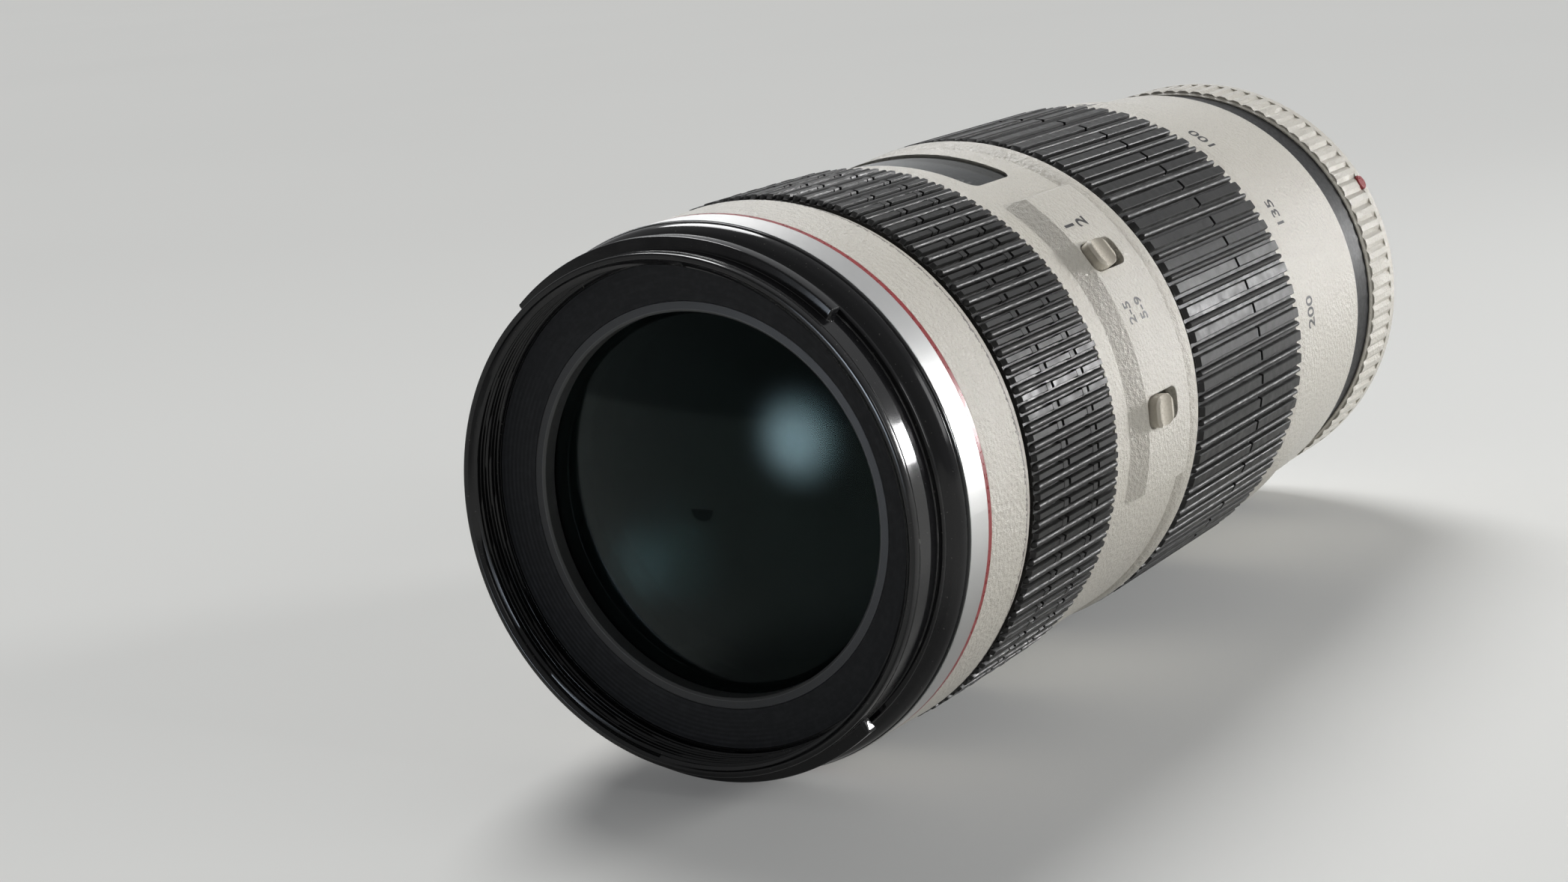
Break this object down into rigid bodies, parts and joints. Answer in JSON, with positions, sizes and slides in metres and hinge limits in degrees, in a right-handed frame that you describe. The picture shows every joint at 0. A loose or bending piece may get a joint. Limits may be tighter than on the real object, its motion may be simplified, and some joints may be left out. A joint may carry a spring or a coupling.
{
  "type": "telephoto zoom lens",
  "caption": "White telephoto zoom lens with ribbed focus and zoom rings, distance window, slide switches, iris, cam-driven lens groups and a bayonet mount.",
  "frame": {"origin": "centre of the rear flange face that rests on the camera's mount, on the optical axis", "axes": "+Y along the optical axis from the front glass to the camera; +Z from the axis through the middle of the distance window"},
  "size_m": [0.0784, 0.1776, 0.076],
  "materials": {
    "white_paint": "off-white pebbled paint",
    "black_paint": "glossy black paint",
    "black_anodised": "matt black anodised",
    "bare_aluminium": "turned, clear",
    "silver_ring": "fine turned, satin",
    "red_paint": "deep red paint",
    "black_rubber": "moulded ribs, matt",
    "optical_glass": "polished, coated",
    "clear_pane": "clear plastic",
    "steel": "ground",
    "mount_steel": "satin chrome",
    "brass": "machined",
    "gold_contact": "gold plated",
    "black_plastic": "moulded black",
    "switch_plastic": "moulded cream, satin",
    "circuit_board": "laminate",
    "blade_steel": "blackened foil"
  },
  "bodies": {
    "barrel": {"filter_ring": "black_paint", "name_ring": "silver_ring", "red_ring": "red_paint", "front_barrel": "white_paint", "front_cell": "black_anodised", "front_retainer": "black_anodised", "front_glass": "optical_glass", "main_tube": "bare_aluminium", "focus_housing": "black_anodised", "usm_stator": "steel", "body_shell": "white_paint", "window_pane": "clear_pane", "switch_boards": "circuit_board", "bead_ring": "white_paint", "guide_tube": "bare_aluminium", "iris_housing": "black_anodised", "rear_cell": "black_anodised", "rear_glass": "optical_glass", "rear_barrel": "white_paint", "rear_tube": "black_anodised", "mount_ring": "white_paint", "index_dot": "red_paint", "mount_plate": "mount_steel", "mount_screws": "steel", "mount_baffle": "black_plastic", "contact_block": "black_plastic", "contact_pins": "gold_contact", "main_board": "circuit_board"},
    "focus_ring": {"focus_sleeve": "bare_aluminium", "focus_grip": "black_rubber"},
    "output_ring": {"focus_cam": "bare_aluminium", "distance_scale": "black_plastic"},
    "motor_rotor": {"usm_rotor": "steel"},
    "focus_group": {"focus_cell": "black_anodised", "focus_followers": "brass", "focus_glass": "optical_glass"},
    "zoom_ring": {"zoom_sleeve": "white_paint", "zoom_grip": "black_rubber", "zoom_key": "brass", "cam_tube": "bare_aluminium"},
    "variator_group": {"variator_cell": "black_anodised", "variator_followers": "brass", "variator_glass": "optical_glass"},
    "compensator_group": {"compensator_cell": "black_anodised", "compensator_followers": "brass", "compensator_glass": "optical_glass"},
    "iris_ring": {"iris_drive_ring": "black_anodised"},
    "af_knob": {"af_switch": "switch_plastic"},
    "limiter_knob": {"limiter_switch": "switch_plastic"},
    "roller_1": {"focus_roller_1": "steel"},
    "roller_2": {"focus_roller_2": "steel"},
    "roller_3": {"focus_roller_3": "steel"},
    "blade_1": {"iris_blade_1": "blade_steel"},
    "blade_2": {"iris_blade_2": "blade_steel"},
    "blade_3": {"iris_blade_3": "blade_steel"},
    "blade_4": {"iris_blade_4": "blade_steel"},
    "blade_5": {"iris_blade_5": "blade_steel"},
    "blade_6": {"iris_blade_6": "blade_steel"},
    "blade_7": {"iris_blade_7": "blade_steel"},
    "blade_8": {"iris_blade_8": "blade_steel"}
  },
  "joints": [
    {"name": "focus_turn", "type": "hinge", "parent": "barrel", "child": "focus_ring", "pos_m": [0, 0, 0], "axis": [0, -1, 0], "range_deg": [0, 150]},
    {"name": "output_turn", "type": "hinge", "parent": "barrel", "child": "output_ring", "pos_m": [0, 0, 0], "axis": [0, -1, 0], "range_deg": [0, 75.1]},
    {"name": "motor_turn", "type": "hinge", "parent": "barrel", "child": "motor_rotor", "pos_m": [0, 0, 0], "axis": [0, -1, 0], "range_deg": [-150, 150]},
    {"name": "focus_slide", "type": "slide", "parent": "barrel", "child": "focus_group", "axis": [0, -1, 0], "range_m": [0, 0.009]},
    {"name": "zoom_turn", "type": "hinge", "parent": "barrel", "child": "zoom_ring", "pos_m": [0, 0, 0], "axis": [0, -1, 0], "range_deg": [0, 85]},
    {"name": "variator_slide", "type": "slide", "parent": "barrel", "child": "variator_group", "axis": [0, 1, 0], "range_m": [0, 0.027]},
    {"name": "compensator_slide", "type": "slide", "parent": "barrel", "child": "compensator_group", "axis": [0, -1, 0], "range_m": [0, 0.009]},
    {"name": "iris_turn", "type": "hinge", "parent": "barrel", "child": "iris_ring", "pos_m": [0, 0, 0], "axis": [0, 1, 0], "range_deg": [0, 6.49]},
    {"name": "af_switch_slide", "type": "slide", "parent": "barrel", "child": "af_knob", "axis": [0, 1, 0], "range_m": [0, 0.004]},
    {"name": "limiter_switch_slide", "type": "slide", "parent": "barrel", "child": "limiter_knob", "axis": [0, 1, 0], "range_m": [0, 0.004]},
    {"name": "roller_1_spin", "type": "hinge", "parent": "output_ring", "child": "roller_1", "pos_m": [0.02933, -0.13285, 0.01215], "axis": [0.9239, 0, 0.3827], "range_deg": [0, 757]},
    {"name": "roller_2_spin", "type": "hinge", "parent": "output_ring", "child": "roller_2", "pos_m": [-0.02519, -0.13285, 0.01933], "axis": [-0.7934, 0, 0.6088], "range_deg": [0, 757]},
    {"name": "roller_3_spin", "type": "hinge", "parent": "output_ring", "child": "roller_3", "pos_m": [-0.00414, -0.13285, -0.03148], "axis": [-0.1305, 0, -0.9914], "range_deg": [0, 757]},
    {"name": "blade_1_swing", "type": "hinge", "parent": "barrel", "child": "blade_1", "pos_m": [0.018, -0.0455, 0], "axis": [0, 1, 0], "range_deg": [0, 36.01]},
    {"name": "blade_2_swing", "type": "hinge", "parent": "barrel", "child": "blade_2", "pos_m": [0.01273, -0.0455, -0.01273], "axis": [0, 1, 0], "range_deg": [0, 36.01]},
    {"name": "blade_3_swing", "type": "hinge", "parent": "barrel", "child": "blade_3", "pos_m": [0, -0.0455, -0.018], "axis": [0, 1, 0], "range_deg": [0, 36.01]},
    {"name": "blade_4_swing", "type": "hinge", "parent": "barrel", "child": "blade_4", "pos_m": [-0.01273, -0.0455, -0.01273], "axis": [0, 1, 0], "range_deg": [0, 36.01]},
    {"name": "blade_5_swing", "type": "hinge", "parent": "barrel", "child": "blade_5", "pos_m": [-0.018, -0.0455, 0], "axis": [0, 1, 0], "range_deg": [0, 36.01]},
    {"name": "blade_6_swing", "type": "hinge", "parent": "barrel", "child": "blade_6", "pos_m": [-0.01273, -0.0455, 0.01273], "axis": [0, 1, 0], "range_deg": [0, 36.01]},
    {"name": "blade_7_swing", "type": "hinge", "parent": "barrel", "child": "blade_7", "pos_m": [0, -0.0455, 0.018], "axis": [0, 1, 0], "range_deg": [0, 36.01]},
    {"name": "blade_8_swing", "type": "hinge", "parent": "barrel", "child": "blade_8", "pos_m": [0.01273, -0.0455, 0.01273], "axis": [0, 1, 0], "range_deg": [0, 36.01]}
  ],
  "couplings": [
    {"joint": "output_turn", "follows": "focus_turn", "ratio": 0.5},
    {"joint": "focus_slide", "follows": "focus_turn", "m_per_rad": 0.0034377},
    {"joint": "variator_slide", "follows": "zoom_turn", "m_per_rad": 0.0182},
    {"joint": "compensator_slide", "follows": "zoom_turn", "m_per_rad": 0.0060666},
    {"joint": "roller_1_spin", "follows": "focus_turn", "ratio": 5.0397},
    {"joint": "roller_2_spin", "follows": "focus_turn", "ratio": 5.0397},
    {"joint": "roller_3_spin", "follows": "focus_turn", "ratio": 5.0397},
    {"joint": "blade_1_swing", "follows": "iris_turn", "ratio": 5.5479},
    {"joint": "blade_2_swing", "follows": "iris_turn", "ratio": 5.5479},
    {"joint": "blade_3_swing", "follows": "iris_turn", "ratio": 5.5479},
    {"joint": "blade_4_swing", "follows": "iris_turn", "ratio": 5.5479},
    {"joint": "blade_5_swing", "follows": "iris_turn", "ratio": 5.5479},
    {"joint": "blade_6_swing", "follows": "iris_turn", "ratio": 5.5479},
    {"joint": "blade_7_swing", "follows": "iris_turn", "ratio": 5.5479},
    {"joint": "blade_8_swing", "follows": "iris_turn", "ratio": 5.5479}
  ]
}
